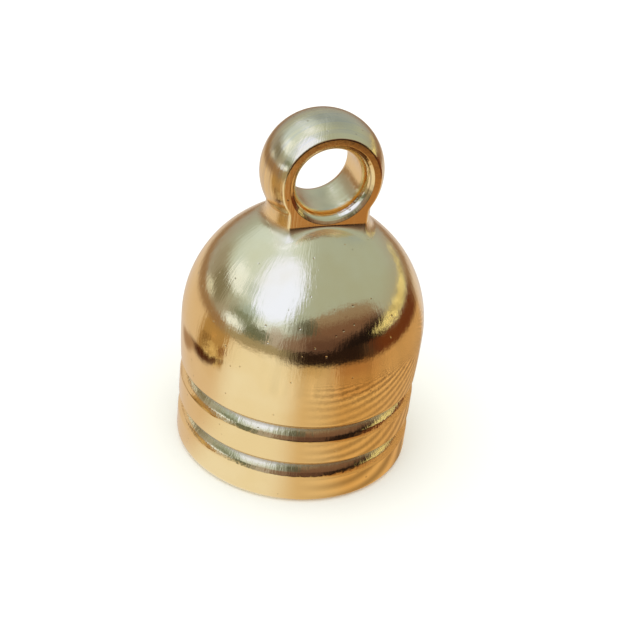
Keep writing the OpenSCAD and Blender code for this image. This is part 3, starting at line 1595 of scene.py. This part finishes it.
    def surroundings(self) -> None:
        """Makes the soft surroundings that light the cap and that its plating mirrors."""
        world = bpy.data.worlds.new("soft surroundings")
        bpy.context.scene.world = world
        world.use_nodes = True
        sheet = Sheet(world.node_tree)
        direction = sheet.add("ShaderNodeTexCoord").outputs["Generated"]
        noise = sheet.add("ShaderNodeTexNoise", Vector=direction, Scale=5.0, Detail=3.0)
        shift = sheet.vector("SUBTRACT", noise.outputs["Color"], (0.5, 0.5, 0.5))
        bent = sheet.vector("ADD", direction, sheet.scaled(shift, self.wander))
        sparks = sheet.add("ShaderNodeTexNoise", Vector=direction, Scale=26.0, Detail=2.0)
        rise = sheet.add("ShaderNodeSeparateXYZ", i0=direction).outputs[2]
        colour = sheet.mix(sheet.step(rise, 0.0, 0.5), self.low_sky, self.sky)
        for glow in self.glows:
            middle, *sides = (tuple(axis) for axis in glow.frame())
            depth = sheet.math("MAXIMUM", sheet.vector("DOT_PRODUCT", bent, middle), 0.02)
            parts = []
            for side, half in zip(sides, (glow.half_wide, glow.half_high)):
                off = sheet.math("DIVIDE", sheet.vector("DOT_PRODUCT", bent, side), depth)
                off = sheet.math("DIVIDE", off, math.tan(math.radians(half)))
                parts.append(sheet.math("POWER", sheet.math("ABSOLUTE", off), self.squareness))
            mask = sheet.step(sheet.total(*parts), 1 + glow.soft * 1.5, max(0.0, 1 - glow.soft))
            mask = sheet.product(mask, glow.share)
            if glow.grain:
                mask = sheet.product(mask, sheet.step(sparks.outputs[0], glow.grain, glow.grain + 0.08))
            colour = sheet.mix(mask, colour, (*glow.colour, 1))
        ray = sheet.add("ShaderNodeLightPath")
        colour = sheet.mix(ray.outputs["Is Diffuse Ray"], colour, (1.0, 1.0, 1.0, 1))
        colour = sheet.mix(ray.outputs["Is Camera Ray"], colour, self.pale)
        sheet.tree.links.new(colour, sheet.tree.nodes["Background"].inputs["Color"])

    def floor(self) -> bpy.types.Object:
        """Lays the plain pale floor. To every ray but the camera's it glows instead with a painted wooden
        table, warm and with painted light and shade, which the plating mirrors.

        Returns:
            The floor.
        """
        bpy.ops.object.select_all(action="DESELECT")
        bpy.ops.mesh.primitive_plane_add(size=self.floor_size, location=(0, 0, self.floor_z))
        floor = bpy.context.object
        floor.name = "floor"
        bpy.ops.object.transform_apply(location=True)
        made = bpy.data.materials.new("pale floor")
        made.use_nodes = True
        sheet = Sheet(made.node_tree)
        sheet.tree.nodes.remove(sheet.tree.nodes["Principled BSDF"])
        warm = Table(sheet).tone(self.near_washes, (self.wedge, *self.spots), self.far_washes)
        # the floor's glow for every ray but the camera's: the painted table with its painted light and shade,
        # though the floor is no lamp
        glow = sheet.add("ShaderNodeEmission", Color=warm, Strength=1.0)
        plain = sheet.add("ShaderNodeBsdfDiffuse", Color=self.floor_colour)
        seen = sheet.add("ShaderNodeLightPath").outputs["Is Camera Ray"]
        both = sheet.add("ShaderNodeMixShader", i0=seen, i1=glow.outputs[0], i2=plain.outputs[0])
        sheet.tree.links.new(both.outputs[0], sheet.tree.nodes["Material Output"].inputs["Surface"])
        floor.data.materials.append(made)
        return floor

    def lamp(self) -> bpy.types.Object:
        """Hangs the wide soft lamp that evens out the floor, and that the plating doesn't mirror.

        Returns:
            The lamp.
        """
        light = bpy.data.lights.new("soft lamp", "AREA")
        light.shape = "DISK"
        light.size = self.lamp_size
        light.energy = self.lamp_power
        lamp = bpy.data.objects.new("soft lamp", light)
        lamp.location = self.lamp_place
        lamp.rotation_euler = (Vector((0, 0, 1)).rotation_difference(lamp.location)).to_euler()
        lamp.visible_glossy = False
        bpy.context.scene.collection.objects.link(lamp)
        return lamp

    def set_up(self) -> None:
        """Makes the whole studio."""
        self.surroundings()
        self.floor()
        self.lamp()
        self.view.camera()
        bpy.context.scene.view_settings.view_transform = "Standard"


def main() -> None:
    """Builds the cap and the studio."""
    logging.basicConfig(level=logging.INFO, format="%(name)s: %(message)s")
    for make in (turned_places, hairlines, by_the_foot, pinholes, turned_rings, ripples):
        log.info("effect %s", make().name)
    blank = Blank("plated_cap")
    blank.begin()
    body = TurnedBody()
    body.model(blank)
    foot = Foot(body, EyeSection())
    foot.model(blank)
    Eye(foot).model(blank)
    cap = blank.set_down()
    cap.data.materials.append(GoldPlating().material())
    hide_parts("cap")
    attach(cap, "root")
    Studio().set_up()


if __name__ == "__main__":
    main()
